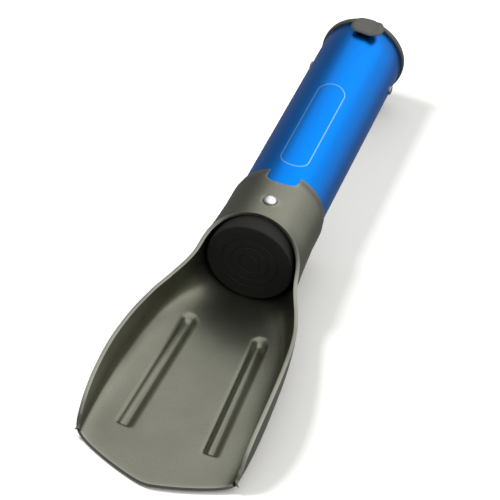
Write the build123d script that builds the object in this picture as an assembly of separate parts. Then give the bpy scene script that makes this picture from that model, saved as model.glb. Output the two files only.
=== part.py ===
from build123d import *
import math
import os

# A pocket camp shovel: a pressed aluminium scoop whose neck is a round socket, and a
# tubular handle that slides through the socket and stows over the scoop floor.
# Everything is drawn about the handle axis, with the inner end of the handle at y = 0 and
# the scoop towards -Y, and is then set down so that the lowest point is at z = 0.

# ---- driving dimensions, mm ----
tube_diameter = 34.0        # handle tube, outside
tube_wall = 1.0
handle_length = 143.5       # inner end of the plug to the outer end of the tube

sheet = 1.4                 # wall of the scoop and socket
slide_gap = 0.15            # radial, between handle tube and socket bore

scoop_length = 104.5        # inner end of the handle to the point of the scoop
scoop_width = 63.8          # outside, at the widest place
point_rise = 13.8           # how far the corners stand back from the point
corner_radius = 3.0
point_radius = 14.0
floor_drop = 0.3            # scoop floor below the bottom of the bore
wall_squareness = 5.5       # exponent of the scoop section; 2 is an ellipse
lip_height = 0.5            # what stays of the side walls beside the point

socket_back = 36.0          # rear edge of the socket
socket_front = 22.0         # the round part of the socket starts here
mouth_top = 7.2             # top of the arched mouth, on the crest
rear_edge_round = 1.0

notch_width = 12.8          # thumb notch in the rear edge
notch_depth = 8.4
notch_radius = 4.2

groove_width = 5.6          # two stiffening grooves pressed into the floor
groove_depth = 1.3
groove_back = (14.2, -21.5)
groove_front = (16.4, -81.0)
groove_flat = 0.12          # flat worn along the underside of each groove

button_y = 16.4
button_diameter = 5.3
button_gap = 0.3            # radial, around the button in its holes
button_proud = 1.6          # dome above the socket
button_collar = 6.1
button_collar_height = 1.2

plug_barrel = 9.0           # full-diameter length of the plug
plug_spigot = 17.0          # length inside the tube
plug_face = 4.0             # thickness of the plug's closed face
plug_wall = 2.0             # wall of its hollow back
plug_ring_radii = (4.0, 7.5, 11.0)
plug_ring_width = 0.7       # shallow turned rings on the face
plug_ring_depth = 0.25
plug_edge_round = 0.7
seat_gap = 0.05             # radial, between parts that are fixed together
spring_bore_gap = 0.2
spring_wire = 0.6
spring_diameter = 5.0
spring_turns = 6.0
spring_floor = 3.6          # bottom of the spring bore above the axis

pin_y = 127.5
pin_head = 3.8
pin_proud = 1.0
pin_shank = 2.4
pin_tail = 3.4
pin_tail_height = 0.6

cap_flange_proud = 0.9
cap_flange = 2.4
cap_crown = 0.9             # rise of the domed outer face
cap_spigot = 12.0
cap_spigot_wall = 1.8
cap_gap = 0.12              # radial, cap spigot in tube
seal_section = 1.6
seal_y_from_end = 7.0
tab_width = 13.0
tab_reach = 9.5             # how far the tab hangs over the tube
tab_thickness = 1.6
tab_lift = 0.8              # gap between tab and tube
knuckle_diameter = 3.2      # raised finger catch at one end of the tab
knuckle_width = 2.4
knuckle_sink = 1.2

stop_gap = 0.2              # left between stop pins and socket when stowed

section_points = 36         # points in each section of the scoop's skin
skin_rows = 24
skin_tolerance = 0.05
bore_relief = 0.3           # left inside the socket for the bore to be cut from
bore_run = 20.0             # how far the bore runs on over the scoop floor

# ---- worked out ----
tube_radius = tube_diameter / 2
bore_radius = tube_radius - tube_wall
socket_bore = tube_radius + slide_gap
socket_radius = socket_bore + sheet
scoop_half = scoop_width / 2
scoop_depth = socket_radius + floor_drop
lowest = -(scoop_depth + groove_depth - groove_flat)
flange_radius = tube_radius + cap_flange_proud
back_end = handle_length + cap_flange + cap_crown
slide_travel = pin_y - pin_head / 2 - socket_back - stop_gap
middle_y = (back_end - scoop_length) / 2
place = Pos(0, -middle_y, -lowest)

# Along the scoop: distance in front of the handle's end as a share of the scoop's length,
# and how far the width has grown from the socket to the full scoop there.
flare = [
    (-0.210, 0.000),
    (-0.040, 0.080),
    (0.045, 0.150),
    (0.155, 0.520),
    (0.265, 0.760),
    (0.480, 0.950),
    (0.720, 1.000),
    (1.040, 0.870),
]

# Rim of the scoop, from the arch over the mouth down to the front corners: distance in
# front of the handle's end as a share of the scoop's length, and the rim's height above
# the handle axis as a share of the socket's radius.
rim = [
    (-0.045, 0.700),
    (0.000, 0.360),
    (0.050, 0.110),
    (0.150, -0.110),
    (0.270, -0.100),
    (0.430, 0.020),
    (0.600, 0.060),
    (0.730, -0.070),
    (0.820, -0.330),
    (0.885, -0.830),
]


def smooth(share):
    share = min(max(share, 0.0), 1.0)
    return share * share * (3 - 2 * share)


def across(y):
    return Plane(origin=(0, y, 0), x_dir=(1, 0, 0), z_dir=(0, -1, 0))


def round_bar(radius, start, end):
    return extrude(across(start) * Circle(radius), amount=-(end - start))


def upright_bar(radius, y, low, high):
    return Pos(0, y, low) * Cylinder(radius, high - low, align=(Align.CENTER, Align.CENTER, Align.MIN))


def follow(table, share):
    # Cubic curve through the table's points, with slopes averaged from its chords.
    slopes = []
    for k in range(len(table)):
        before = table[max(k - 1, 0)]
        after = table[min(k + 1, len(table) - 1)]
        slopes.append((after[1] - before[1]) / (after[0] - before[0]))
    k = 0
    while k < len(table) - 2 and share > table[k + 1][0]:
        k += 1
    gap = table[k + 1][0] - table[k][0]
    t = (share - table[k][0]) / gap
    rise = smooth(t)
    start = table[k][1] * (1 - rise) + slopes[k] * gap * t * (1 - t) ** 2
    return start + table[k + 1][1] * rise - slopes[k + 1] * gap * t * t * (1 - t)


def scoop_ring(y, inset):
    # Closed curve |x/w|^n + |z/h|^n = 1, taken at equal turns about the axis. It is a
    # circle at the socket and a flat-floored trough along the scoop.
    share = -y / scoop_length
    growth = 0 if y >= socket_front else follow(flare, share)
    deep = smooth((share + 0.1) / 0.5)
    relief = bore_relief * (1 - deep) if inset else 0
    width = socket_radius + growth * (scoop_half - socket_radius) - inset - relief
    height = socket_radius + floor_drop * deep - inset - relief
    power = 2 + (wall_squareness - 2) * deep
    ring = []
    for step in range(section_points + 1):
        turn = 2 * math.pi * step / section_points - math.pi / 2
        reach = (abs(math.cos(turn)) / width) ** power + (abs(math.sin(turn)) / height) ** power
        radius = reach ** (-1 / power)
        ring.append(Vector(radius * math.cos(turn), y, radius * math.sin(turn)))
    ring[-1] = ring[0]
    return ring


def scoop_body(inset):
    front = -scoop_length - 3
    grid = [scoop_ring(socket_back + (front - socket_back) * row / skin_rows, inset)
            for row in range(skin_rows + 1)]
    skin = Face.make_surface_from_array_of_points(grid, tol=skin_tolerance, min_deg=3, max_deg=3)
    ends = [edge for edge in skin.edges() if edge.bounding_box().size.Y < 0.01]
    caps = [Face(Wire([edge])) for edge in ends]
    return Solid(Shell([skin] + caps))


def rim_cutter():
    side = [(-share * scoop_length, height * socket_radius) for share, height in rim]
    high = socket_radius + 5
    front = -scoop_length - 5
    curve = Spline([(mouth_top, socket_radius + 1)] + side)
    lip = -(scoop_depth - sheet - lip_height)
    outline = curve + Polyline(side[-1], (side[-1][0] - 2.0, lip), (front, lip), (front, high),
                               (mouth_top, high), (mouth_top, socket_radius + 1))
    face = Plane.YZ * make_face(outline)
    return extrude(face, amount=scoop_width, both=True)


def front_blank():
    # Plan of the scoop: straight sides, rounded corners and a shallow point.
    half = scoop_half + 5
    corner = scoop_half - 1.2
    back = socket_back + 5
    # The sides of the point lean so that its rounded tip comes to the full length.
    above_arc = point_rise - point_radius
    lean = math.atan2(above_arc, corner) + math.asin(point_radius / math.hypot(corner, above_arc))
    slope = math.tan(lean)
    side = -(scoop_length - point_rise)
    outline = Polyline((-half, back), (-half, -scoop_length / 2), (-corner - 0.6, -scoop_length / 2),
                       (-corner, side), (0, -corner * slope + side), (corner, side),
                       (corner + 0.6, -scoop_length / 2), (half, -scoop_length / 2), (half, back),
                       (-half, back))
    plan = make_face(outline)
    tips = [v for v in plan.vertices() if abs(v.Y - side) < 0.01]
    plan = fillet(tips, corner_radius)
    point = plan.vertices().sort_by(Axis.Y)[0]
    plan = fillet(point, point_radius)
    return extrude(plan, amount=scoop_width, both=True)


def groove(side, grow):
    # A round bar laid in the floor; its chord at the floor is the groove's width.
    radius = (groove_width ** 2 / 4 + groove_depth ** 2) / (2 * groove_depth)
    centre = -(scoop_depth - sheet) - groove_depth + radius
    start = Vector(side * groove_back[0], groove_back[1], centre)
    end = Vector(side * groove_front[0], groove_front[1], centre)
    run = end - start
    bar = extrude(Plane(origin=start, z_dir=run) * Circle(radius + grow), amount=run.length)
    return bar + Pos(start) * Sphere(radius + grow)


def make_blade():
    below = Pos(0, 0, -scoop_depth + sheet / 2) * Box(
        4 * scoop_width, 4 * scoop_length, 50, align=(Align.CENTER, Align.CENTER, Align.MAX))
    shell = scoop_body(0)
    for side in (-1, 1):
        shell += groove(side, sheet) & below
    shell -= scoop_body(sheet)
    shell -= round_bar(socket_bore, -bore_run, socket_back + 1)
    for side in (-1, 1):
        shell -= groove(side, 0)
    shell -= rim_cutter()
    shell &= front_blank()
    worn = Pos(0, 0, lowest) * Box(
        4 * scoop_width, 4 * scoop_length, 10, align=(Align.CENTER, Align.CENTER, Align.MAX))
    shell -= worn
    rear = shell.faces().sort_by(Axis.Y)[-1].outer_wire().edges()
    shell = fillet(rear, rear_edge_round)
    notch = Pos(0, socket_back - notch_depth) * Rectangle(
        notch_width, 4 * notch_depth, align=(Align.CENTER, Align.MIN))
    notch = fillet(notch.vertices().sort_by(Axis.Y)[:2], notch_radius)
    shell -= extrude(notch, amount=socket_radius + 5)
    shell -= upright_bar(button_diameter / 2 + button_gap, button_y, 0, socket_radius + 5)
    return shell


def make_handle_tube():
    tube = round_bar(tube_radius, plug_barrel, handle_length)
    tube -= round_bar(bore_radius, plug_barrel - 1, handle_length + 1)
    tube -= upright_bar(button_diameter / 2 + button_gap, button_y, 0, tube_radius + 5)
    pin_hole = Pos(0, pin_y, 0) * Rot(0, 90, 0) * Cylinder(pin_shank / 2 + seat_gap, 3 * tube_radius)
    return tube - pin_hole


def make_inner_plug():
    barrel = round_bar(tube_radius, 0, plug_barrel)
    front_rim = barrel.edges().filter_by(GeomType.CIRCLE).sort_by(Axis.Y)[0]
    barrel = fillet(front_rim, plug_edge_round)
    back = plug_barrel + plug_spigot
    plug = barrel + round_bar(bore_radius - seat_gap, plug_barrel, back)
    spring_bore = button_collar / 2 + spring_bore_gap
    boss = spring_bore + plug_wall
    hollow = round_bar(bore_radius - seat_gap - plug_wall, plug_face, back + 1)
    plug -= hollow - Pos(0, button_y, spring_floor - plug_wall) * Box(
        2 * boss, 2 * boss, tube_diameter, align=(Align.CENTER, Align.CENTER, Align.MIN))
    for radius in plug_ring_radii:
        ring = Circle(radius + plug_ring_width / 2) - Circle(radius - plug_ring_width / 2)
        plug -= extrude(across(0) * ring, amount=-plug_ring_depth)
    return plug - upright_bar(spring_bore, button_y, spring_floor, tube_radius)


def make_lock_button():
    top = socket_radius + button_proud
    radius = button_diameter / 2
    shoulder = bore_radius - 0.6
    collar_low = shoulder - button_collar_height
    dome = 1.9
    dome_radius = (radius ** 2 + dome ** 2) / (2 * dome)
    stem = upright_bar(radius, button_y, collar_low, top)
    stem &= Pos(0, button_y, top - dome_radius) * Sphere(dome_radius) + upright_bar(
        radius + 1, button_y, collar_low - 1, top - dome)
    return stem + upright_bar(button_collar / 2, button_y, collar_low, shoulder)


def make_lock_spring():
    low = spring_floor + spring_wire / 2
    high = bore_radius - 0.6 - button_collar_height - spring_wire / 2
    height = high - low
    radius = (spring_diameter - spring_wire) / 2
    path = Helix(height / spring_turns, height, radius)
    wire = Plane(origin=path @ 0, z_dir=path % 0) * Circle(spring_wire / 2)
    return Pos(0, button_y, low) * sweep(wire, path=path)


def make_stop_pin(side):
    out = side * tube_radius
    head_radius = ((pin_head / 2) ** 2 + pin_proud ** 2) / (2 * pin_proud)
    flat = Plane(origin=(0, pin_y, 0), z_dir=(side, 0, 0))
    head = flat * Pos(0, 0, tube_radius + pin_proud - head_radius) * Sphere(head_radius)
    keep = flat * Pos(0, 0, tube_radius - 0.05) * Cylinder(
        pin_head, 5, align=(Align.CENTER, Align.CENTER, Align.MIN))
    head = (head & keep) - round_bar(tube_radius, pin_y - 5, pin_y + 5)
    inside = bore_radius - pin_tail_height
    shank = flat * Pos(0, 0, inside) * Cylinder(
        pin_shank / 2, tube_radius + pin_proud / 2 - inside, align=(Align.CENTER, Align.CENTER, Align.MIN))
    tail = flat * Pos(0, 0, inside) * Cylinder(
        pin_tail / 2, pin_tail_height - 0.12, align=(Align.CENTER, Align.CENTER, Align.MIN))
    return head + shank + tail


def make_end_cap():
    flange = round_bar(flange_radius, handle_length, handle_length + cap_flange)
    crown_radius = (flange_radius ** 2 + cap_crown ** 2) / (2 * cap_crown)
    crown = Pos(0, back_end - crown_radius, 0) * Sphere(crown_radius)
    crown &= round_bar(flange_radius, handle_length + cap_flange / 2, back_end + 1)
    cap = flange + crown
    spigot_radius = bore_radius - cap_gap
    cap += round_bar(spigot_radius, handle_length - cap_spigot, handle_length)
    cap -= round_bar(spigot_radius - cap_spigot_wall, handle_length - cap_spigot - 1, handle_length)
    seal_at = handle_length - seal_y_from_end
    groove_floor = bore_radius - seal_section - 0.16
    ring = round_bar(bore_radius, seal_at - seal_section / 2 - 0.1, seal_at + seal_section / 2 + 0.1)
    cap -= ring - round_bar(groove_floor, seal_at - seal_section, seal_at + seal_section)
    return cap + make_tab()


def make_tab():
    inner = tube_radius + tab_lift
    outer = inner + tab_thickness
    shell = round_bar(outer, handle_length - tab_reach - 1, back_end - cap_crown)
    shell -= round_bar(inner, handle_length - tab_reach - 2, handle_length)
    reach = tab_reach - tab_width / 2
    lobe = Pos(0, handle_length - reach) * Rectangle(
        tab_width, reach + cap_flange, align=(Align.CENTER, Align.MIN))
    lobe += Pos(0, handle_length - reach) * Circle(tab_width / 2)
    tab = shell & extrude(lobe, amount=outer + 1)
    height = outer + knuckle_diameter / 2 - knuckle_sink
    spot = Pos(tab_width / 2 - knuckle_width / 2, handle_length + cap_flange / 2, height)
    knuckle = spot * Rot(0, 90, 0) * Cylinder(knuckle_diameter / 2, knuckle_width)
    return tab + fillet(knuckle.edges().filter_by(GeomType.CIRCLE), 0.3 * knuckle_diameter / 2)


def make_cap_seal():
    seal_at = handle_length - seal_y_from_end
    centre = bore_radius - seal_section / 2 - 0.06
    return across(seal_at) * Torus(centre, seal_section / 2)


parts = {
    "blade": make_blade(),
    "handle_tube": make_handle_tube(),
    "inner_plug": make_inner_plug(),
    "lock_button": make_lock_button(),
    "lock_spring": make_lock_spring(),
    "stop_pin_left": make_stop_pin(-1),
    "stop_pin_right": make_stop_pin(1),
    "end_cap": make_end_cap(),
    "cap_seal": make_cap_seal(),
}

os.makedirs("parts", exist_ok=True)
for name, shape in parts.items():
    export_step(place * shape, f"parts/{name}.step")
print("slide travel", round(slide_travel, 2), "middle_y", round(middle_y, 3), "axis height", round(-lowest, 3))
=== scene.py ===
import math

import bmesh
import bpy
import numpy as np
from mathutils import Matrix, Vector


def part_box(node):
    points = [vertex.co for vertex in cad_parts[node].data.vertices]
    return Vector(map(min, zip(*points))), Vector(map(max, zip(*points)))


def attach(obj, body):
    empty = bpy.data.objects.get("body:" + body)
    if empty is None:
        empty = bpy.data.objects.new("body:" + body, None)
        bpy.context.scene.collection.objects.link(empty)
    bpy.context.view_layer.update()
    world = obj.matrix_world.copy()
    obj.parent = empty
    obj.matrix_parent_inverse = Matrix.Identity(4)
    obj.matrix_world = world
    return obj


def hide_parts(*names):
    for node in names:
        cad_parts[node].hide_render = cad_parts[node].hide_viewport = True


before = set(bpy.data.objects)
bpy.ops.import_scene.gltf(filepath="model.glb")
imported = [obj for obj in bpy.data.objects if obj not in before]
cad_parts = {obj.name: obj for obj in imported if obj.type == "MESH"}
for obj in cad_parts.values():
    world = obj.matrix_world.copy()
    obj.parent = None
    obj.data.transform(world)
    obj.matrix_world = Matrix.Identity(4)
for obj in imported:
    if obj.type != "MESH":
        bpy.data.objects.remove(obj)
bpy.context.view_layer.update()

scene = bpy.context.scene
print("frame loaded")

# Lengths are millimetres in the handle's own frame: y runs back along the tube from the inner
# face of its plug, x is to the right and z is up from the tube's axis.
plugLow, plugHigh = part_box("inner_plug")
tubeLow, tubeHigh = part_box("handle_tube")
buttonLow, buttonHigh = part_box("lock_button")
sealLow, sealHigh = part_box("cap_seal")
homeY = plugLow[1]
axisZ = (tubeLow[2] + tubeHigh[2]) / 2
floorZ = -axisZ * 1000


def toFrame(points):
    # millimetres in the handle's frame become metres in the row frame
    return np.asarray(points, float) * 0.001 + (0.0, homeY, axisZ)


def fromFrame(point):
    return (np.asarray(point, float) - (0.0, homeY, axisZ)) * 1000


tubeEnd = fromFrame(tubeHigh)[1]
tubeStart = fromFrame(tubeLow)[1]
tubeRadius = (tubeHigh[0] - tubeLow[0]) * 500


def ease(share):
    # 0 to 1 with level ends: three squares less two cubes
    share = np.clip(share, 0.0, 1.0)
    return share * share * (3 - 2 * share)


def follow(table, at):
    # a smooth curve through the table: a cubic between neighbours, whose slope at each point is
    # that of the chord between the points on its two sides
    place, value = np.array(table, float).T
    index = np.arange(len(place))
    before, after = np.maximum(index - 1, 0), np.minimum(index + 1, len(place) - 1)
    slopes = (value[after] - value[before]) / (place[after] - place[before])
    at = np.clip(at, place[0], place[-1])
    k = np.clip(np.searchsorted(place, at, side="right") - 1, 0, len(place) - 2)
    run = place[k + 1] - place[k]
    t = (at - place[k]) / run
    return ((2 * t**3 - 3 * t**2 + 1) * value[k] + (t**3 - 2 * t**2 + t) * run * slopes[k]
            + (3 * t**2 - 2 * t**3) * value[k + 1] + (t**3 - t**2) * run * slopes[k + 1])


def tableAt(table, row, column):
    # straight interpolation in a table, at fractional rows and columns
    row = np.clip(row, 0, table.shape[0] - 1.000001)
    column = np.clip(column, 0, table.shape[1] - 1.000001)
    r, c = row.astype(int), column.astype(int)
    u, v = row - r, column - c
    return ((1 - u) * (1 - v) * table[r, c] + (1 - u) * v * table[r, c + 1]
            + u * (1 - v) * table[r + 1, c] + u * v * table[r + 1, c + 1])


def runAlong(*axes):
    # the length of a line of points, up to each of them
    return np.concatenate([[0], np.cumsum(np.sqrt(sum(np.diff(values) ** 2 for values in axes)))])


def colour(code):
    # an sRGB hex code as linear red, green, blue and full alpha
    parts = [int(code[k:k + 2], 16) / 255 for k in (1, 3, 5)]
    return [p / 12.92 if p <= 0.04045 else ((p + 0.055) / 1.055) ** 2.4 for p in parts] + [1.0]


def perMetre(millimetres):
    # the Noise scale that gives patches of this size
    return 1000 / millimetres


def addNode(tree, kind, inputs=None, **settings):
    # a node with its settings, and its inputs filled by a value or by another node's output
    node = tree.nodes.new(kind)
    for key, value in settings.items():
        setattr(node, key, value)
    for key, value in (inputs or {}).items():
        if isinstance(value, bpy.types.NodeSocket):
            tree.links.new(value, node.inputs[key])
        else:
            node.inputs[key].default_value = value
    return node


def startMaterial(name, **sockets):
    # a Principled material with these sockets set, and the object coordinates its patterns use
    material = bpy.data.materials.new(name)
    material.use_nodes = True
    tree = material.node_tree
    shader = tree.nodes["Principled BSDF"]
    for key, value in sockets.items():
        shader.inputs[key.replace("_", " ")].default_value = value
    place = addNode(tree, "ShaderNodeTexCoord").outputs["Object"]
    return material, tree, shader, place


def grainy(tree, shader, place, dark, light, grain, roughness, bump, stretch=(1, 1, 1)):
    # one noise of the grain's size varies colour and roughness and raises the surface
    stretched = addNode(tree, "ShaderNodeMapping", {"Vector": place, "Scale": stretch}).outputs[0]
    noise = addNode(tree, "ShaderNodeTexNoise", {
        "Vector": stretched, "Scale": perMetre(grain), "Detail": 3.0, "Roughness": 0.6}).outputs[0]
    tint = addNode(tree, "ShaderNodeMix", {0: noise, 6: colour(dark), 7: colour(light)},
                   data_type="RGBA").outputs[2]
    rough = addNode(tree, "ShaderNodeMapRange", {
        "Value": noise, "From Min": 0.3, "From Max": 0.7,
        "To Min": roughness[0], "To Max": roughness[1]}).outputs[0]
    raised = addNode(tree, "ShaderNodeBump", {
        "Height": noise, "Strength": 0.5, "Distance": bump * 0.001}).outputs[0]
    tree.links.new(tint, shader.inputs["Base Color"])
    tree.links.new(rough, shader.inputs["Roughness"])
    tree.links.new(raised, shader.inputs["Normal"])
    return tint


# hard anodised aluminium, bead blasted: a warm grey satin with a fine even grain, paler where
# the sheet's edges have rubbed
hardAnodised, tree, shader, place = startMaterial("hardAnodisedAluminium", Metallic=1.0)
tint = grainy(tree, shader, place, "#7c7d70", "#a1a296", 0.45, (0.28, 0.4), 0.02)
wear = addNode(tree, "ShaderNodeAttribute", attribute_name="edgeWear").outputs["Fac"]
patchy = addNode(tree, "ShaderNodeTexNoise", {
    "Vector": place, "Scale": perMetre(14.0), "Detail": 2.0}).outputs[0]
worn = addNode(tree, "ShaderNodeMath", {0: wear, 1: 0.35}, operation="MULTIPLY").outputs[0]
cloudy = addNode(tree, "ShaderNodeMix", {0: patchy, 6: colour("#e2e2dc"), 7: colour("#ffffff")},
                 data_type="RGBA").outputs[2]
shaded = addNode(tree, "ShaderNodeMix", {0: 1.0, 6: tint, 7: cloudy}, data_type="RGBA",
                 blend_type="MULTIPLY").outputs[2]
edged = addNode(tree, "ShaderNodeMix", {0: worn, 6: shaded, 7: colour("#c9c8bd")},
                data_type="RGBA").outputs[2]
tree.links.new(edged, shader.inputs["Base Color"])

# blue anodised aluminium tube: a clear strong blue, with drawing lines along its length
blueAnodised, tree, shader, place = startMaterial("blueAnodisedAluminium", Metallic=1.0)
tint = grainy(tree, shader, place, "#0084f8", "#0092ff", 0.4, (0.28, 0.33), 0.002, (1, 0.03, 1))
# a pale line is drawn where the distance from the nearest point of a middle line on the crest,
# less the radius, is within the line's width, and it fades between 0.3 and 0.7 of that width
outline = {"start": 47.3, "end": 92.2, "radius": 5.6, "line": 0.38}
split = addNode(tree, "ShaderNodeSeparateXYZ", {0: place}).outputs
nearest = addNode(tree, "ShaderNodeClamp", {
    "Value": split[1], "Min": float(toFrame((0, outline["start"], 0))[1]),
    "Max": float(toFrame((0, outline["end"], 0))[1])}).outputs[0]
past = addNode(tree, "ShaderNodeMath", {0: split[1], 1: nearest}, operation="SUBTRACT").outputs[0]
pastSquare = addNode(tree, "ShaderNodeMath", {0: past, 1: past}, operation="MULTIPLY").outputs[0]
square = addNode(tree, "ShaderNodeMath", {0: split[0], 1: split[0], 2: pastSquare},
                 operation="MULTIPLY_ADD").outputs[0]
far = addNode(tree, "ShaderNodeMath", {0: square}, operation="SQRT").outputs[0]
off = addNode(tree, "ShaderNodeMath", {0: far, 1: outline["radius"] * 0.001},
              operation="SUBTRACT").outputs[0]
offSize = addNode(tree, "ShaderNodeMath", {0: off}, operation="ABSOLUTE").outputs[0]
line = addNode(tree, "ShaderNodeMapRange", {
    "Value": offSize, "From Min": outline["line"] * 0.0003, "From Max": outline["line"] * 0.0007,
    "To Min": 1.0, "To Max": 0.0}).outputs[0]
above = addNode(tree, "ShaderNodeMath", {0: split[2], 1: float(axisZ)},
                operation="GREATER_THAN").outputs[0]
drawn = addNode(tree, "ShaderNodeMath", {0: line, 1: above}, operation="MULTIPLY").outputs[0]
etched = addNode(tree, "ShaderNodeMix", {0: drawn, 6: tint, 7: colour("#8cc4f4")},
                 data_type="RGBA").outputs[2]
tree.links.new(etched, shader.inputs["Base Color"])

# glass-filled nylon, moulded: near black and dull, with a fine grain
blackNylon, tree, shader, place = startMaterial("mouldedBlackNylon", Specular_IOR_Level=0.35)
grainy(tree, shader, place, "#0f0f0e", "#1a1a18", 0.35, (0.58, 0.72), 0.02)

# moulded ABS: dark warm grey and glossy, with the faint ripple of a moulded face
greyAbs, tree, shader, place = startMaterial("mouldedGreyAbs", Coat_Weight=0.35, Coat_Roughness=0.08)
grainy(tree, shader, place, "#34362f", "#3a3c35", 1.6, (0.2, 0.3), 0.006)

# polished stainless steel: bright, with hair-fine rubbing marks
polishedSteel, tree, shader, place = startMaterial("polishedStainlessSteel", Metallic=1.0)
grainy(tree, shader, place, "#ececea", "#fafaf8", 0.3, (0.14, 0.22), 0.002, (1, 0.2, 1))

# turned stainless steel of the stop pins: grey and satin
satinSteel, tree, shader, place = startMaterial("turnedStainlessSteel", Metallic=1.0)
grainy(tree, shader, place, "#8d8e8b", "#a9aaa6", 0.25, (0.28, 0.38), 0.003)

# drawn spring wire: pale and fairly bright
springWire, tree, shader, place = startMaterial("drawnSpringWire", Metallic=1.0)
grainy(tree, shader, place, "#9b9a95", "#b9b8b2", 0.2, (0.2, 0.3), 0.002)

# nitrile rubber: black with a soft sheen
blackRubber, tree, shader, place = startMaterial("mouldedNitrileRubber")
grainy(tree, shader, place, "#141414", "#1f1f1f", 0.4, (0.55, 0.7), 0.01)
print("materials made")


def finishPiece(piece, material, body, slot, *nodes):
    piece.data.materials.append(material)
    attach(piece, body)
    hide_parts(*nodes)
    print("made", piece.name, len(piece.data.polygons), "faces")


def bothSides(values, sign=1):
    # the columns of the right-hand half with their mirror image in front of them
    return np.concatenate([sign * values[:, :0:-1], values], 1)


def stripSheet(name, half, wall, edgeRound, thin=None, wear=None):
    # half is x, y and z of the right-hand half of a bent sheet's outer face: rows from the back
    # to the front, columns from the bottom to the edge. The left half is its mirror image, edges
    # that meet on the crest are one, and the wall grows inwards.
    x, y, z = half
    rows, count = x.shape
    both = bothSides(x, -1), bothSides(y), bothSides(z)
    numbers = np.arange(x.shape[0] * (2 * count - 1)).reshape(rows, -1)
    meeting = np.abs(x[:, -1]) < 1e-6
    numbers[meeting, -1] = numbers[meeting, 0]
    faces = np.stack([numbers[:-1, :-1], numbers[:-1, 1:], numbers[1:, 1:], numbers[1:, :-1]], -1)
    used, faces = np.unique(faces.reshape(-1, 4), return_inverse=True)
    faces = faces.reshape(-1, 4)
    points = toFrame(np.stack(both, -1).reshape(-1, 3)[used])
    mesh = bpy.data.meshes.new(name)
    mesh.from_pydata(points.tolist(), [], faces.tolist())
    if wear is not None:
        spread = bothSides(wear).reshape(-1)[used]
        mesh.attributes.new("edgeWear", "FLOAT", "POINT").data.foreach_set("value", spread)
    mesh.shade_smooth()
    piece = bpy.data.objects.new(name, mesh)
    scene.collection.objects.link(piece)
    skin = piece.modifiers.new("wall", "SOLIDIFY")
    skin.thickness, skin.offset = wall * 0.001, -1
    skin.use_even_offset = False
    if thin is not None:
        group = piece.vertex_groups.new(name="wall")
        share = np.round(bothSides(thin).reshape(-1)[used], 2)
        for level in np.unique(share):
            group.add(np.flatnonzero(share == level).tolist(), float(level), "REPLACE")
        skin.vertex_group = "wall"
    edge = piece.modifiers.new("edge", "BEVEL")
    edge.width, edge.segments = edgeRound * 0.001, 2
    edge.limit_method, edge.angle_limit = "ANGLE", math.radians(55)
    return piece


def closedPiece(name, points, faces, sharp=38):
    # a solid from points in millimetres, smooth except at edges sharper than this many degrees
    mesh = bpy.data.meshes.new(name)
    mesh.from_pydata(toFrame(points).tolist(), [], faces.tolist())
    shape = bmesh.new()
    shape.from_mesh(mesh)
    bmesh.ops.remove_doubles(shape, verts=shape.verts, dist=1e-6)
    bmesh.ops.recalc_face_normals(shape, faces=shape.faces)
    shape.to_mesh(mesh)
    shape.free()
    mesh.shade_smooth()
    mesh.set_sharp_from_angle(angle=math.radians(sharp))
    piece = bpy.data.objects.new(name, mesh)
    scene.collection.objects.link(piece)
    return piece


def gridFaces(rows, columns, ring=False):
    # quads of a grid closed across its columns, and across its rows too where ring is set
    r, c = np.meshgrid(np.arange(rows if ring else rows - 1), np.arange(columns), indexing="ij")
    down, right = (r + 1) % rows, (c + 1) % columns
    return np.stack([r * columns + c, r * columns + right, down * columns + right, down * columns + c],
                    -1).reshape(-1, 4)


def rounded(corners, steps=5):
    # each corner (along, out, radius) becomes a short curve that leaves and meets its sides
    # level, with one more point on either side to keep the sides flat in the light
    corners = np.array(corners, float)
    made = [corners[0, :2]]
    for before, corner, after in zip(corners[:-2], corners[1:-1], corners[2:]):
        a, b = before[:2] - corner[:2], after[:2] - corner[:2]
        a, b = a / np.linalg.norm(a), b / np.linalg.norm(b)
        if corner[2] == 0:
            made.append(corner[:2])
            continue
        reach = corner[2] / math.tan(math.acos(np.clip(a @ b, -1, 1)) / 2)
        t = np.linspace(0, 1, steps + 1)[:, None]
        start, end = corner[:2] + a * reach, corner[:2] + b * reach
        made.append(start + a * 0.06)
        made.extend((1 - t) ** 2 * start + 2 * t * (1 - t) * corner[:2] + t**2 * end)
        made.append(end + b * 0.06)
    made.append(corners[-1, :2])
    return np.array(made)


def turned(name, profile, foot, direction, segments=144, ring=False):
    # the profile's points (along, out) swung round a line from foot: the place is foot, plus
    # along times the direction, plus out times a circle square to it
    profile = np.array(profile, float)
    axis = Vector(direction)
    side = axis.orthogonal().normalized()
    other = axis.cross(side)
    angle = np.linspace(0, 2 * math.pi, segments, endpoint=False)[:, None]
    circle = np.cos(angle) * np.array(side) + np.sin(angle) * np.array(other)
    points = (np.array(foot) + profile[:, 0, None, None] * np.array(axis)
              + profile[:, 1, None, None] * circle)
    return closedPiece(name, points.reshape(-1, 3), gridFaces(len(profile), segments, ring))


# scoop and socket, one pressed sheet
scoop = {
    "sheet": 1.4, "bore": 17.15, "socketRadius": 18.55, "halfWidth": 31.3, "length": 104.5,
    "floorDrop": 0.3, "wallSquareness": 5.5, "frontSquareness": 4.5,
    "tip": 103.1, "pointSlope": 0.26, "pointBow": 0.0051, "pointSoft": 2.5,
    "cornerTurn": 2.0, "lip": 0.5, "flareStart": 22.0,
    "mouthTop": 7.2, "rearEdge": 36.0, "rearRadius": 17.8, "rearTaper": 6.0,
    "notchWidth": 12.8, "notchDepth": 8.4, "notchRound": 5.0,
    "holeY": 16.4, "holeRadius": 2.95,
    "grooveHalf": 3.4, "grooveDepth": 1.3, "grooveThin": 0.55, "grooveFade": 1.6,
    "grooveBack": (14.2, -21.5), "grooveFront": (16.4, -81.0),
    "join": -74.0, "rowStep": 0.85, "edgeRound": 0.3, "wearReach": 0.8,
}
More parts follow.
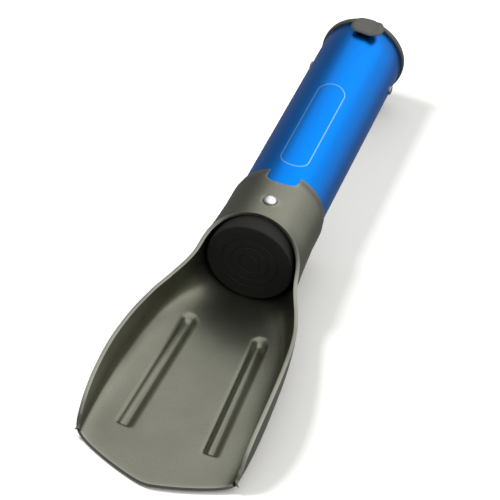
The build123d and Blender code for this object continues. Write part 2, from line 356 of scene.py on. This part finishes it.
# share of the scoop's length towards the point, and how far the socket has opened to full width
flare = [(-0.210, 0.000), (-0.040, 0.080), (0.045, 0.150), (0.155, 0.520), (0.265, 0.760),
         (0.480, 0.950), (0.720, 1.000), (1.040, 0.870)]
# share of the length, and the height of the side's edge in socket radii
sideEdge = [(-0.0689, 1.000), (-0.045, 0.700), (0.000, 0.360), (0.050, 0.110), (0.150, -0.110),
            (0.270, -0.100), (0.430, 0.020), (0.600, 0.060), (0.730, -0.070), (0.810, -0.290),
            (0.850, -0.560), (0.868, -0.800), (0.876, -0.914), (1.050, -0.914)]
lipHeight = -(scoop["socketRadius"] + scoop["floorDrop"] - scoop["sheet"] - scoop["lip"])


def scoopSection(y):
    # half width, depth and squareness of the outer face where it is cut square to y
    share = -y / scoop["length"]
    growth = np.where(y >= scoop["flareStart"], 0.0, follow(flare, share))
    deep = ease((share + 0.1) / 0.5)
    taper = ease((y - scoop["rearEdge"] + scoop["rearTaper"]) / scoop["rearTaper"]) ** 1.6
    radius = scoop["socketRadius"] - (scoop["socketRadius"] - scoop["rearRadius"]) * taper
    width = radius + growth * (scoop["halfWidth"] - scoop["socketRadius"])
    height = radius + scoop["floorDrop"] * deep
    power = (2 + (scoop["wallSquareness"] - 2) * deep
             + scoop["frontSquareness"] * ease((share - 0.5) / 0.35))
    return width, height, power


def scoopEdge(y):
    # the turn up from the right at which the sheet stops: at the side's edge on the open scoop,
    # and on the socket at the crest, less the button's hole and the thumb notch
    width, height, power = scoopSection(y)
    level = follow(sideEdge, -y / scoop["length"])
    edgeZ = np.maximum(level * np.where(level > 0, height, scoop["socketRadius"]), lipHeight)
    edgeX = width * np.clip(1 - (np.abs(edgeZ) / height) ** power, 0, 1) ** (1 / power)
    hole = np.sqrt(np.clip(scoop["holeRadius"] ** 2 - (y - scoop["holeY"]) ** 2, 0, None))
    into = (y - scoop["rearEdge"] + scoop["notchDepth"]) / scoop["notchRound"]
    notch = scoop["notchWidth"] / 2 * (1 - np.clip(1 - into, 0, 1) ** 2.4) ** (1 / 2.4)
    crest = math.pi / 2 - np.maximum(hole, np.where(into > 0, notch, 0)) / width
    return np.where(y < scoop["mouthTop"], np.arctan2(edgeZ, edgeX), crest)


def scoopPoint(y, turn):
    # where a ray at this turn meets the outer face: (x / width)^power + (z / height)^power = 1
    width, height, power = scoopSection(y)
    reach = ((np.abs(np.cos(turn)) / width) ** power
             + (np.abs(np.sin(turn)) / height) ** power) ** (-1 / power)
    return reach * np.cos(turn), reach * np.sin(turn)


def sectionTurns(y, shares):
    # the turns that divide each section's length, from the bottom to its edge, at these shares
    turn = -math.pi / 2 + (scoopEdge(y)[:, None] + math.pi / 2) * np.linspace(0, 1, 400)
    x, z = scoopPoint(y[:, None], turn)
    run = np.concatenate([np.zeros((len(y), 1)), np.cumsum(np.hypot(np.diff(x), np.diff(z)), 1)], 1)
    found = np.stack([np.interp(s * r[-1], r, t) for s, r, t in zip(shares, run, turn)])
    return found, run[:, -1]


def columnShares(y, length):
    # columns are closest across the groove, and follow it
    middle = np.interp(y, [scoop["grooveFront"][1], scoop["grooveBack"][1]],
                       [scoop["grooveFront"][0], scoop["grooveBack"][0]])
    near, far = (middle - scoop["grooveHalf"]) / length, (middle + scoop["grooveHalf"]) / length
    spread = [np.linspace(0, 1, n, endpoint=False) for n in (13, 16)] + [np.linspace(0, 1, 52)]
    near, far = near[:, None], far[:, None]
    return np.concatenate([near * spread[0], near + (far - near) * spread[1],
                           far + (1 - far) * spread[2]], 1)


# rows on the socket crowd to the ends of the notch and of the hole, where the edge turns fast
quarter = np.linspace(math.pi / 2, 0, 18)
rearRows = scoop["rearEdge"] - scoop["notchDepth"] * np.cos(quarter)
holeRows = scoop["holeY"] + scoop["holeRadius"] * np.cos(np.linspace(0, math.pi, 20))
socketRows = np.concatenate([rearRows, np.linspace(rearRows[-1], holeRows[0], 9)[1:-1], holeRows,
                             np.linspace(holeRows[-1], scoop["mouthTop"], 7)[1:-1]])
# rows on the open scoop are evenly spaced along the side's edge
fineY = np.linspace(scoop["mouthTop"], scoop["join"], 3000)
fineX, fineZ = scoopPoint(fineY, scoopEdge(fineY))
edgeRun = runAlong(fineX, fineY, fineZ)
evenRun = np.linspace(0, edgeRun[-1], int(edgeRun[-1] / scoop["rowStep"]))
openRows = np.interp(evenRun, edgeRun, fineY)
straightRows = np.concatenate([socketRows, openRows])
even = np.tile(np.linspace(0, 1, 3), (len(straightRows), 1))
sectionLength = sectionTurns(straightRows, even)[1]
shares = columnShares(straightRows, sectionLength)
turns = sectionTurns(straightRows, shares)[0]
backX, backZ = scoopPoint(straightRows[:, None], turns)
backY = np.repeat(straightRows[:, None], backX.shape[1], 1)

# the front edge in plan rises from the tip as a soft V whose sides bow outwards, and then
# turns the corner and climbs the end of the side wall to its edge
cornerX = float(scoopPoint(np.array([-90.0]), scoopEdge(np.array([-96.0])))[0][0])
planX = np.linspace(0, cornerX, 400)
planY = (scoop["pointSlope"] * (np.hypot(planX, scoop["pointSoft"]) - scoop["pointSoft"])
         + scoop["pointBow"] * planX**2 - scoop["tip"])
width, height, power = scoopSection(planY)
planZ = -height * np.clip(1 - (planX / width) ** power, 0, 1) ** (1 / power)
climb = np.linspace(0, 1, 60)[1:]
climbY = planY[-1] + scoop["cornerTurn"] * climb**1.5
climbTo = scoopEdge(climbY[-1:])[0]
pathTurn = np.arctan2(planZ, planX)
pathTurn = np.concatenate([pathTurn, pathTurn[-1] + (climbTo - pathTurn[-1]) * climb])
pathY = np.concatenate([planY, climbY])
pathX, pathZ = scoopPoint(pathY, pathTurn)
pathRun = runAlong(pathX, pathY, pathZ)
lastShares = shares[-1]
frontY = np.interp(lastShares * pathRun[-1], pathRun, pathY)
frontTurn = np.interp(lastShares * pathRun[-1], pathRun, pathTurn)
# towards the point the rows bend from straight across to the shape of that edge
fine = 240
fineRows = np.linspace(scoop["join"], -scoop["tip"] - 0.5, fine)
fineShares = np.tile(np.linspace(0, 1, fine), (fine, 1))
fineTurns = sectionTurns(fineRows, fineShares)[0]
rowOf = (scoop["join"] - frontY) / (scoop["join"] - fineRows[-1]) * (fine - 1)
turnRows = np.stack([tableAt(fineTurns, np.full(fine, r), np.arange(float(fine))) for r in rowOf])
frontShares = np.array([np.interp(t, row, fineShares[0]) for t, row in zip(frontTurn, turnRows)])
reach = np.linspace(0, 1, 44)[1:, None]
bentY = scoop["join"] + (frontY - scoop["join"]) * reach
bentShares = lastShares + (frontShares - lastShares) * reach
bentRows = (scoop["join"] - bentY) / (scoop["join"] - fineRows[-1]) * (fine - 1)
bentTurns = tableAt(fineTurns, bentRows, bentShares * (fine - 1))
bentX, bentZ = scoopPoint(bentY, bentTurns)

sheetX, sheetY, sheetZ = (np.concatenate(pair)
                          for pair in ((backX, bentX), (backY, bentY), (backZ, bentZ)))
# the grooves press the floor down: the drop is the depth times 1 - (distance / half width)^2
back, front = np.array(scoop["grooveBack"]), np.array(scoop["grooveFront"])
along = front - back
grooveLength = np.hypot(*along)
along = along / grooveLength
forward = (sheetX - back[0]) * along[0] + (sheetY - back[1]) * along[1]
aside = (sheetX - back[0]) * along[1] - (sheetY - back[1]) * along[0]
away = np.hypot(aside, np.minimum(forward, 0))
press = (np.clip(1 - (away / scoop["grooveHalf"]) ** 2, 0, 1)
         * (1 - ease((forward - grooveLength + 1) / scoop["grooveFade"])))
onFloor = sheetZ < -10
sheetZ = np.where(onFloor, np.maximum(sheetZ - scoop["grooveDepth"] * press, floorZ), sheetZ)

# the pressing also stretches the sheet thinner in the grooves, and the socket's rear is rounded off
thin = 1 - scoop["grooveThin"] * press * onFloor
socketWall = (scoopSection(sheetY)[0] - scoop["bore"]) / scoop["sheet"]
thin = np.where(sheetY > scoop["mouthTop"], np.clip(socketWall, 0.2, 1), thin)
# wear fades with the distance from the nearest edge, and rows closed on the crest have no side edge
unworn, frontHalf = 50.0, 30.0
fromSide = (1 - shares) * sectionLength[:, None]
fromSide[np.abs(backX[:, -1]) < 1e-6] = unworn
fromFront = np.minimum((1 - bentShares) * frontHalf, (1 - reach) * (scoop["join"] - frontY))
fromEdge = np.minimum(np.concatenate([fromSide, fromFront]), np.abs(scoop["rearEdge"] - sheetY))
blade = stripSheet("scoop_and_socket", (sheetX, sheetY, sheetZ), scoop["sheet"],
                   scoop["edgeRound"], thin, np.exp(-fromEdge / scoop["wearReach"]))
finishPiece(blade, hardAnodised, "scoop", "scoop_metal", "blade")

# handle tube, with the button's hole in its crest
tube = {"wall": 1.0, "columns": 72, "edgeRound": 0.15}
tubeRows = np.concatenate([np.linspace(tubeEnd, holeRows[0], 12)[:-1], holeRows,
                           np.linspace(holeRows[-1], tubeStart, 4)[1:]])
tubeHole = np.sqrt(np.clip(scoop["holeRadius"] ** 2 - (tubeRows - scoop["holeY"]) ** 2, 0, None))
tubeEdge = math.pi / 2 - tubeHole / tubeRadius
turn = -math.pi / 2 + (tubeEdge[:, None] + math.pi / 2) * np.linspace(0, 1, tube["columns"])
tubeSkin = (tubeRadius * np.cos(turn), np.repeat(tubeRows[:, None], tube["columns"], 1),
            tubeRadius * np.sin(turn))
handle = stripSheet("blue_handle_tube", tubeSkin, tube["wall"], tube["edgeRound"])
handle.visible_diffuse = False  # keeps its blue off the paper
finishPiece(handle, blueAnodised, "handle", "handle_metal", "handle_tube")

# plug in the handle's inner end, with three turned rings on its face
plug = {"edge": 0.8, "seat": 15.95, "hollow": 13.95, "face": 4.0, "rings": (4.0, 7.5, 11.0),
        "ringHalf": 0.4, "ringDepth": 0.25}
plugEnd = fromFrame(plugHigh)[1]
corners = [(0, 0, 0)]
for middle in plug["rings"]:
    inner, outer = middle - plug["ringHalf"], middle + plug["ringHalf"]
    corners += [(0, inner, 0.08), (plug["ringDepth"], inner + 0.12, 0.08),
                (plug["ringDepth"], outer - 0.12, 0.08), (0, outer, 0.08)]
corners += [(0, tubeRadius, plug["edge"]), (tubeStart, tubeRadius, 0.15),
            (tubeStart, plug["seat"], 0.1), (plugEnd, plug["seat"], 0.4),
            (plugEnd, plug["hollow"], 0.3), (plug["face"], plug["hollow"], 0.6),
            (plug["face"], 0, 0)]
piece = turned("inner_end_plug", rounded(corners), (0, 0, 0), (0, 1, 0))
finishPiece(piece, blackNylon, "handle", "plug_plastic", "inner_plug")

# lock button: a domed stem on a collar
button = {"radius": 2.65, "collar": 3.05, "collarHeight": 1.2, "dome": 1.6}
low, high = fromFrame(buttonLow)[2], fromFrame(buttonHigh)[2]
dome = np.linspace(0, math.pi / 2, 12)
domePoints = np.stack([high - button["dome"] * (1 - np.sin(dome)), button["radius"] * np.cos(dome)], 1)
collarTop = low + button["collarHeight"]
stem = rounded([(low, 0, 0), (low, button["collar"], 0.1), (collarTop, button["collar"], 0.1),
                (collarTop, button["radius"], 0), (high - button["dome"], button["radius"], 0)])
profile = np.concatenate([stem[:-1], domePoints])
piece = turned("lock_button_dome", profile, (0, scoop["holeY"], 0), (0, 0, 1), 72)
finishPiece(piece, polishedSteel, "button", "button_steel", "lock_button")

# stop pins, with a domed head outside the tube and a flat tail inside it
pin = {"head": 1.9, "shank": 1.2, "tail": 1.7, "tailHeight": 0.6, "crown": 0.6}
for side, node in ((-1, "stop_pin_left"), (1, "stop_pin_right")):
    low, high = (fromFrame(corner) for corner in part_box(node))
    outer, inner = max(abs(low[0]), abs(high[0])), min(abs(low[0]), abs(high[0]))
    tailTop, headBase, crownBase = inner + pin["tailHeight"], tubeRadius - 0.1, outer - pin["crown"]
    swing = np.linspace(0, math.pi / 2, 9)
    crown = np.stack([crownBase + pin["crown"] * np.sin(swing),
                      pin["head"] * np.cos(swing) ** 0.6], 1)
    stem = rounded([(inner, 0, 0), (inner, pin["tail"], 0.15), (tailTop, pin["tail"], 0.1),
                    (tailTop, pin["shank"], 0), (headBase, pin["shank"], 0),
                    (headBase, pin["head"], 0.1), (crownBase, pin["head"], 0)])
    foot = (0, (low[1] + high[1]) / 2, (low[2] + high[2]) / 2)
    piece = turned(node + "_head", np.concatenate([stem[:-1], crown]), foot, (side, 0, 0), 48)
    finishPiece(piece, satinSteel, "handle", "pin_steel", node)

# end cap with its thumb tab
cap = {
    "flange": 17.9, "flangeDepth": 2.4, "crown": 0.9, "spigot": 15.88, "spigotEnd": 12.0,
    "wall": 1.8, "sealHalf": 0.9, "sealFloor": 14.3,
    "tabWidth": 13.8, "tabReach": 9.6, "tabMiddle": 3.2, "tabRear": 5.4, "tabAside": 0.6,
    "tabThick": 1.9, "tabLift": 0.9, "dish": 0.55, "curl": 0.9, "rearDrop": 0.6,
}
capBack = fromFrame(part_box("end_cap")[1])[1]
crownEdge = cap["flange"] - 1.0
rise = np.linspace(crownEdge, 0, 20)
crownPoints = np.stack([capBack - cap["crown"] * (rise / crownEdge) ** 2, rise], 1)
bottom = tubeEnd - cap["spigotEnd"]
hollow = cap["spigot"] - cap["wall"]
sealY = (fromFrame(sealLow)[1] + fromFrame(sealHigh)[1]) / 2
slotStart, slotEnd = sealY - cap["sealHalf"], sealY + cap["sealHalf"]
flangeBack = tubeEnd + cap["flangeDepth"]
skirt = rounded([(tubeEnd, 0, 0), (tubeEnd, hollow, 0.4), (bottom, hollow, 0.2),
                 (bottom, cap["spigot"], 0.4), (slotStart, cap["spigot"], 0.1),
                 (slotStart, cap["sealFloor"], 0.1), (slotEnd, cap["sealFloor"], 0.1),
                 (slotEnd, cap["spigot"], 0.1), (tubeEnd, cap["spigot"], 0.1),
                 (tubeEnd, cap["flange"], 0.5), (flangeBack, cap["flange"], 0.6),
                 (flangeBack, crownEdge, 0)])
profile = np.concatenate([skirt[:-1], crownPoints])
piece = turned("end_cap_body", profile, (0, 0, 0), (0, 1, 0))
finishPiece(piece, greyAbs, "cap", "cap_plastic", "end_cap")

# the tab is a pillow: an oval outline drawn in towards its middle as the thickness is passed,
# its top dished, its right-hand end curled up, and the whole bent over the tube
tabRows, tabColumns = 33, 120
around = np.linspace(0, 2 * math.pi, tabColumns, endpoint=False)[None, :]
through = np.linspace(-math.pi / 2, math.pi / 2, tabRows)[:, None]
shrink = np.clip(np.cos(through), 0, 1) ** 0.38
ovalX = cap["tabWidth"] / 2 * np.sign(np.cos(around)) * np.abs(np.cos(around)) ** 0.85
lengthways = np.where(np.sin(around) < 0, cap["tabReach"] - cap["tabMiddle"], cap["tabRear"])
ovalY = lengthways * np.sign(np.sin(around)) * np.abs(np.sin(around)) ** 0.9
tabX = ovalX * shrink + cap["tabAside"]
tabY = tubeEnd - cap["tabMiddle"] + ovalY * shrink - 0.02 * tabX**2
tabBase = np.sqrt((tubeRadius + cap["tabLift"] + cap["tabThick"] / 2) ** 2 - (0.75 * tabX) ** 2)
tabZ = (tabBase + cap["tabThick"] / 2 * np.sin(through)
        - cap["dish"] * (1 - shrink**2) * (through > 0) + cap["curl"] * ease((tabX - 2.5) / 4)
        - cap["rearDrop"] * ease((tabY - tubeEnd) / 2))
tabPoints = np.stack([tabX, tabY, tabZ], -1).reshape(-1, 3)
piece = closedPiece("end_cap_tab", tabPoints, gridFaces(tabRows, tabColumns), 60)
finishPiece(piece, greyAbs, "cap", "cap_plastic", "end_cap")

# seal on the cap's spigot
seal = {"half": 0.8, "radius": 15.15}
section = np.linspace(0, 2 * math.pi, 20, endpoint=False)
profile = np.stack([sealY + seal["half"] * np.sin(section),
                    seal["radius"] + seal["half"] * np.cos(section)], 1)
piece = turned("cap_seal_ring", profile, (0, 0, 0), (0, 1, 0), 120, ring=True)
finishPiece(piece, blackRubber, "cap", "seal_rubber", "cap_seal")

# the spring keeps its own shape and takes a wire material
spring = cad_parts["lock_spring"]
spring.data.materials.clear()
spring.data.materials.append(springWire)

# floor, light and camera
studio = {
    "floor": "#f1f1ef", "keyWatts": 11.0, "backWatts": 1.3, "rightWatts": 0.5,
    "sky": 1.15, "skyBase": 0.22, "skyAcross": 0.46, "skyUp": 0.78, "skyLeast": 0.16,
}
paper = bpy.data.materials.new("matteWhitePaper")
paper.use_nodes = True
paper.node_tree.nodes["Principled BSDF"].inputs["Base Color"].default_value = colour(studio["floor"])
paper.node_tree.nodes["Principled BSDF"].inputs["Roughness"].default_value = 0.9
floorMesh = bpy.data.meshes.new("studio_floor")
floorMesh.from_pydata([(-4, -4, 0), (4, -4, 0), (4, 4, 0), (-4, 4, 0)], [], [(0, 1, 2, 3)])
floorMesh.materials.append(paper)
floor = bpy.data.objects.new("studio_floor", floorMesh)
scene.collection.objects.link(floor)
# polished sides show the dark of the studio, not the paper
floor.visible_glossy = False


def softbox(name, place, aim, size, watts, tint="#ffffff", mirrored=True):
    light = bpy.data.lights.new(name, "AREA")
    light.shape, light.size, light.size_y = "RECTANGLE", size[0], size[1]
    light.energy, light.color = watts, colour(tint)[:3]
    lamp = bpy.data.objects.new(name, light)
    lamp.matrix_world = (Matrix.Translation(place)
                         @ (Vector(aim) - Vector(place)).to_track_quat("-Z", "Y").to_matrix().to_4x4())
    lamp.visible_glossy = mirrored
    scene.collection.objects.link(lamp)


# the key throws the shadow on the paper, and polished sides show only the two large cards
softbox("key", (-0.60, -0.10, 0.80), (0, 0, 0), (0.22, 0.32), studio["keyWatts"], mirrored=False)
softbox("back", (0.10, 1.20, 1.00), (0, 0, 0), (1.6, 0.9), studio["backWatts"])
softbox("right", (0.95, 0.10, 0.45), (0, 0, 0), (0.9, 0.5), studio["rightWatts"], "#ffe6c4")

world = bpy.data.worlds.new("studio_sky")
world.use_nodes = True
tree = world.node_tree
aimed = addNode(tree, "ShaderNodeTexCoord").outputs["Generated"]
axes = addNode(tree, "ShaderNodeSeparateXYZ", {0: aimed}).outputs
# the sky grows lighter upwards and to the right
across = addNode(tree, "ShaderNodeMath", {0: axes[0], 1: studio["skyAcross"], 2: studio["skyBase"]},
                 operation="MULTIPLY_ADD").outputs[0]
lightness = addNode(tree, "ShaderNodeMath", {0: axes[2], 1: studio["skyUp"], 2: across},
                    operation="MULTIPLY_ADD").outputs[0]
share = addNode(tree, "ShaderNodeClamp", {
    "Value": lightness, "Min": studio["skyLeast"], "Max": 1.0}).outputs[0]
sky = addNode(tree, "ShaderNodeMix", {0: share, 6: colour("#15130f"), 7: colour("#ffffff")},
              data_type="RGBA").outputs[2]
tree.links.new(sky, tree.nodes["Background"].inputs["Color"])
tree.nodes["Background"].inputs["Strength"].default_value = studio["sky"]
scene.world = world
scene.view_settings.view_transform = "Standard"

view = {"turn": 13.0, "height": 42.0, "roll": 9.7, "distance": 0.7942, "lens": 153.4,
        "shift": (0.0016, 0.0266)}
turnAngle, heightAngle, roll = (math.radians(view[k]) for k in ("turn", "height", "roll"))
level = math.cos(heightAngle)
ahead = Vector((-math.sin(turnAngle) * level, math.cos(turnAngle) * level, -math.sin(heightAngle)))
right = ahead.cross(Vector((0, 0, 1))).normalized()
upward = right.cross(ahead)
tilted = right * math.cos(roll) + upward * math.sin(roll)
raised = upward * math.cos(roll) - right * math.sin(roll)
cameraData = bpy.data.cameras.new("studio_camera")
cameraData.lens, cameraData.sensor_width = view["lens"], 36
cameraData.shift_x, cameraData.shift_y = view["shift"]
camera = bpy.data.objects.new("studio_camera", cameraData)
camera.matrix_world = Matrix((tilted, raised, -ahead)).transposed().to_4x4()
camera.location = Vector(toFrame((0, 0, 0))) - ahead * view["distance"]
scene.collection.objects.link(camera)
scene.camera = camera
print("studio ready")
